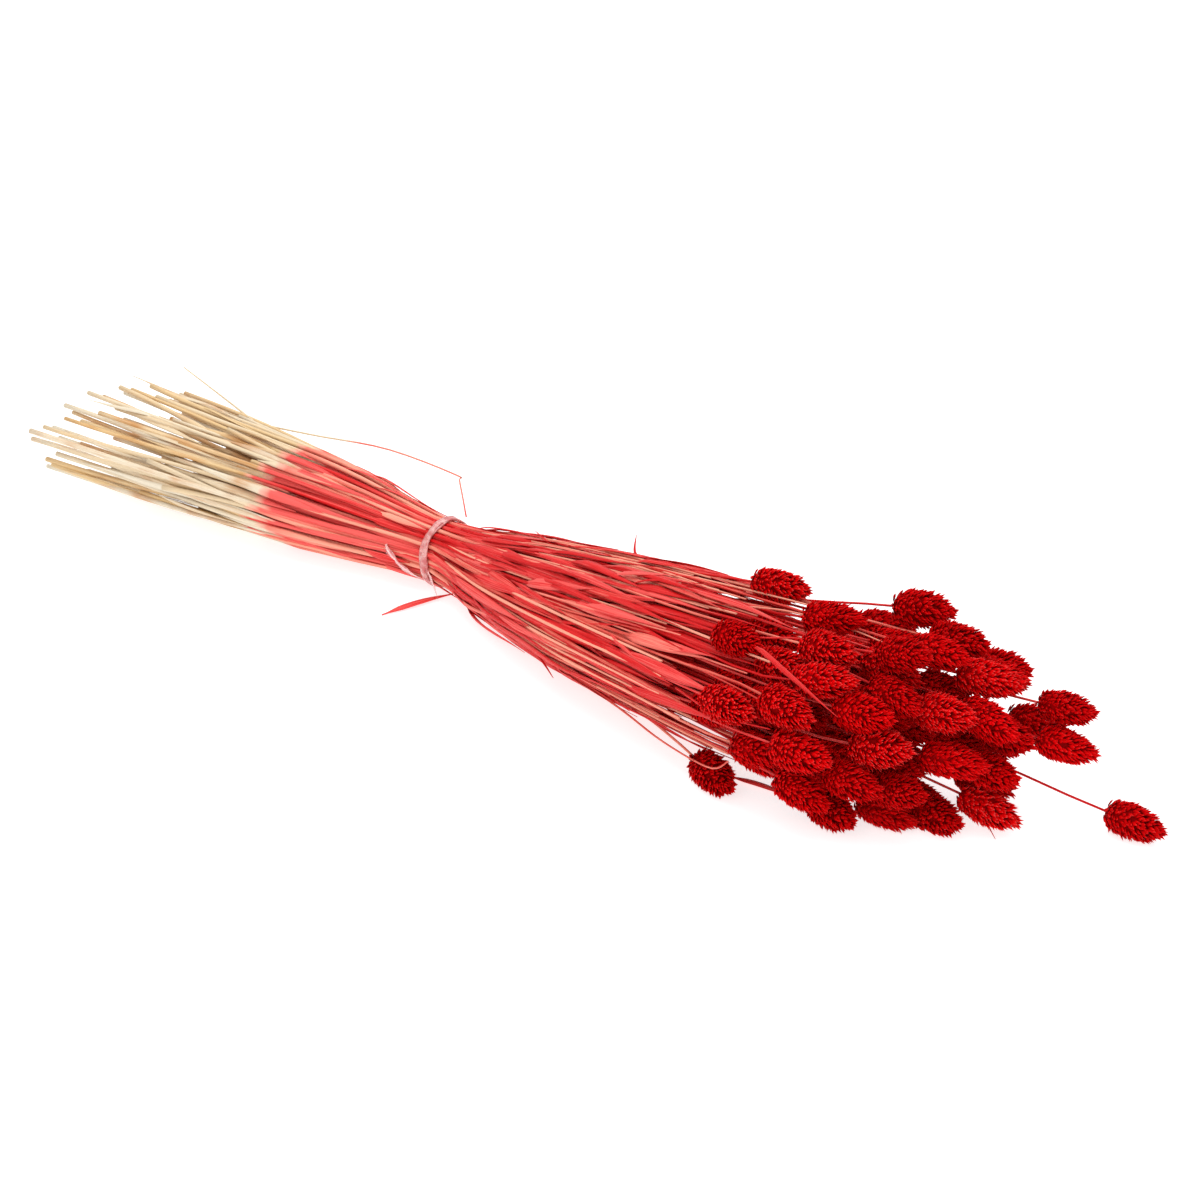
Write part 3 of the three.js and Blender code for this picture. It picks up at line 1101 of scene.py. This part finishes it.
def headMaterial():
    look = headLook
    material, wire, shader = newMaterial("headGlumes", {"Specular IOR Level": look["specular"]})
    along, edge, tone, shade = (wire.attribute(mark) for mark in marks)
    place = wire.objectPlace()
    grain = wire.noise(place, *look["grain"])
    patches = wire.noise(place, *look["patches"])
    # Painted shade: each scale is darkest at its foot, where it lies under the others, and
    # brighter towards its tip
    body = along.within(*look["deepRange"]).tint(look["gap"], look["deep"])
    fuller = along.within(*look["bodyRange"]) * (0.45 + tone * 0.55)
    body = fuller.tint(body, look["body"])
    lit = (shade * 0.5 + patches * 0.4 + tone * 0.3 - 0.25).within(0.1, 0.8)
    body = (lit * along.within(*look["brightRange"])).tint(body, look["bright"])
    glint = tone * 0.25 + shade.within(0.7, 1.0) * 0.45 + (grain - 0.5) * 0.4
    glint = along.within(*look["tipRange"]) * glint
    leastRoughness, addedRoughness = look["roughness"]
    relief = grain * 0.5 + edge * 0.5
    plug(shader, {
        "Base Color": glint.tint(body, look["tip"]),
        "Roughness": grain * addedRoughness + leastRoughness,
        "Normal": relief.bump(look["bumpStrength"], look["bumpDistance"]),
    })
    return material


def buildHeads():
    glume = glumeTemplate()
    templates = [headTemplate(number, glume) for number in range(heads["templates"])]
    finish = headMaterial()
    for name, rings in heads["pieces"].items():
        piece = Piece(name)
        for k, stalk in enumerate(stalk for stalk in stalks if stalk["ring"] in rings):
            head = stalk["head"]
            turn = Vector((1, 0, 0)).rotation_difference(head["axis"]).to_matrix().to_4x4()
            spin = Matrix.Rotation(dice.uniform(0, math.tau), 4, "X")
            size = head["length"] / (heads["length"] * millimetre)
            full = size * dice.uniform(*heads["fullness"])
            matrix = (Matrix.Translation(head["base"]) @ turn @ spin
                      @ Matrix.Diagonal((size, full, full, 1)))
            piece.stamp(templates[k % len(templates)], matrix, dice.random())
        piece.done(finish, outward=False)


buildHeads()

# The tie

tie = {
    "loops": [  # tilt in degrees, shift along the bunch, radius, thickness, width of the band
        (2, 0.2, 18.8, 0.8, 2.2),
        (-5, 1.6, 19.3, 0.7, 1.9),
        (7, -1.2, 19.6, 0.7, 1.6),
    ],
    "around": 96,
    "sides": 8,
    "crumple": 0.36,
    "crumples": 5,  # how often the band narrows in one turn
    "sway": 0.5,
    "sways": 3,
    "dent": 0.01,
    "dents": 8,
    "loose": [  # the slack ends of the band as station, angle round the bunch, share out
        [(-27, 166, 0.94), (-23, 174, 1.1), (-17, 192, 1.15), (-10, 210, 1.18),
         (-2, 232, 1.14)],
        [(2, 196, 1.1), (6, 204, 1.2), (11, 214, 1.36), (15, 221, 1.52)],
    ],
    "looseSteps": 24,
    "looseWidth": 4,
    "looseThickness": 0.3,
    "looseWaves": 21,
    "finish": {"Specular IOR Level": 0.6, "Transmission Weight": 0.35, "IOR": 1.45,
               "Coat Roughness": 0.2},
    "bands": (260, 3, 0.6),
    "bandRange": (0.35, 0.65),
    "bumpStrength": 0.35,
    "bumpDistance": 0.0005,
    "clear": colour(248, 186, 180),
    "strand": colour(226, 114, 114),
}


def tieMaterial():
    material, wire, shader = newMaterial("tieFinish", tie["finish"])
    bands = wire.noise(wire.objectPlace(), *tie["bands"])
    plug(shader, {
        "Base Color": bands.within(*tie["bandRange"]).tint(tie["strand"], tie["clear"]),
        "Roughness": bands * 0.2 + 0.16,
        "Coat Weight": bands * 0.3 + 0.3,
        "Normal": bands.bump(tie["bumpStrength"], tie["bumpDistance"]),
    })
    return material


# One turn of the band round the waist
def windLoop(made, tilt, shift, radius, thick, wide):
    first = len(made.verts)
    ring = bmesh.ops.create_circle(made, segments=tie["sides"], radius=1, cap_ends=False)["verts"]
    across = (Matrix.Translation((0, 0, radius * millimetre))
              @ Matrix.Rotation(math.pi / 2, 4, "X")
              @ Matrix.Diagonal((wide * millimetre, thick * millimetre, 1, 1)))
    bmesh.ops.transform(made, matrix=across, verts=ring)
    edges = list(dict.fromkeys(edge for vert in ring for edge in vert.link_edges))
    bmesh.ops.spin(made, geom=ring + edges, cent=(0, 0, 0), axis=(1, 0, 0), dvec=(0, 0, 0),
                   angle=math.tau, steps=tie["around"], use_merge=True)
    made.verts.ensure_lookup_table()
    fresh = made.verts[first:]
    lumps = dice.uniform(0, math.tau)
    for vert in fresh:
        angle = math.atan2(vert.co.z, vert.co.y)
        vert.co.x *= 1 + tie["crumple"] * math.sin(tie["crumples"] * angle + lumps)
        vert.co.x += tie["sway"] * millimetre * math.sin(tie["sways"] * angle + lumps)
        vert.co.yz *= 1 + tie["dent"] * math.sin(tie["dents"] * angle + 2 * lumps)
    middle = placeAt((0, 0), 0) + Vector((shift * millimetre, 0, 0))
    leaning = (Matrix.Translation(middle) @ Matrix.Rotation(math.radians(tilt), 4, "Z")
               @ Matrix.Rotation(math.radians(tilt * 0.5), 4, "Y"))
    bmesh.ops.transform(made, matrix=leaning, verts=fresh)
    for vert in fresh:
        aboveFloor(vert.co)


def layLooseEnd(band, strip, points):
    route = throughPoints([Vector(point) for point in points])

    def along(share, lift=0.0):
        station, angle, out = route(share)
        return onBunch(station, math.radians(angle), out, lift)

    def place(x, y, z):
        at = along(x)
        outward = (along(x, 1) - at).normalized()
        ahead = along(min(1, x + 0.02)) - along(max(0, x - 0.02))
        sideways = ahead.cross(outward).normalized()
        crumple = 1 + tie["crumple"] * math.sin(tie["looseWaves"] * x)
        half = tie["looseWidth"] / 2 * crumple
        thin = tie["looseThickness"] / 2 * z
        return aboveFloor(at + (sideways * y * half + outward * thin) * millimetre), {}

    band.lay(strip, place)


def buildTie():
    finish = tieMaterial()
    band = Piece("tieBand")
    for loop in tie["loops"]:
        windLoop(band.made, *loop)
    strip = stripTemplate("looseBandTemplate", tie["looseSteps"], 1)
    for points in tie["loose"]:
        layLooseEnd(band, strip, points)
    band.done(finish, ["tie"], smoothed=True)


buildTie()

# Floor, light and camera

stage = {
    "size": 6,  # half of the floor's side, in metres
    "finish": {"Specular IOR Level": 0.1, "Emission Color": (1, 1, 1, 1),
               "Emission Strength": 0.72},
    "mottle": (3, 1, 0.5),
    "grey": colour(196, 196, 196),
    "paleGrey": colour(200, 200, 200),
    "world": 0.74,
    "panels": [  # name, place from the tie in metres, size, power
        ("overhead", (0.1, 0.3, 1.7), 2.2, 26),
        ("frontFill", (0.9, -1.5, 1.1), 1.4, 10),
    ],
    "aim": 0.15,  # how far past the tie the panels point, in metres
}


def buildStage():
    floor = bmesh.new()
    bmesh.ops.create_grid(floor, x_segments=2, y_segments=2, size=stage["size"])
    mesh = keptMesh(floor, "floor")
    material, wire, shader = newMaterial("floorFinish", stage["finish"])
    soft = wire.noise(wire.objectPlace(), *stage["mottle"])
    plug(shader, {"Base Color": soft.tint(stage["grey"], stage["paleGrey"]),
                  "Roughness": soft * 0.1 + 0.8})
    mesh.materials.append(material)
    obj = inScene("floor", mesh)


def buildLights():
    world = bpy.data.worlds.new("studio")
    bpy.context.scene.world = world
    world.use_nodes = True
    background = world.node_tree.nodes["Background"]
    background.inputs["Color"].default_value = (1, 1, 1, 1)
    background.inputs["Strength"].default_value = stage["world"]
    aim = Vector((tieMiddle.x + stage["aim"], 0, 0))
    for name, place, size, power in stage["panels"]:
        lamp = bpy.data.lights.new(name, "AREA")
        lamp.size = size
        lamp.energy = power
        panel = inScene(name, lamp)
        panel.location = Vector(place) + Vector((tieMiddle.x, 0, 0))
        panel.rotation_euler = (aim - panel.location).to_track_quat("-Z", "Y").to_euler()


view = {
    "target": (120, -4, 30),  # in millimetres from the tie
    "azimuth": 39.4,
    "pitch": 25,
    "distance": 1424,
    "lens": 81,
    "sensor": 36,
    "clip": (0.01, 30),
}


def buildCamera():
    camera = bpy.data.cameras.new("camera")
    camera.lens = view["lens"]
    camera.sensor_width = view["sensor"]
    camera.clip_start, camera.clip_end = view["clip"]
    obj = inScene("camera", camera)
    turn, pitch = math.radians(view["azimuth"]), math.radians(view["pitch"])
    back = Vector((math.sin(turn) * math.cos(pitch), -math.cos(turn) * math.cos(pitch),
                   math.sin(pitch)))
    obj.location = fromTie(*view["target"]) + back * view["distance"] * millimetre
    obj.rotation_euler = (-back).to_track_quat("-Z", "Y").to_euler()
    bpy.context.scene.camera = obj


buildStage()
buildLights()
buildCamera()
bpy.context.scene.view_settings.view_transform = "Standard"
print("floor, light and camera done")
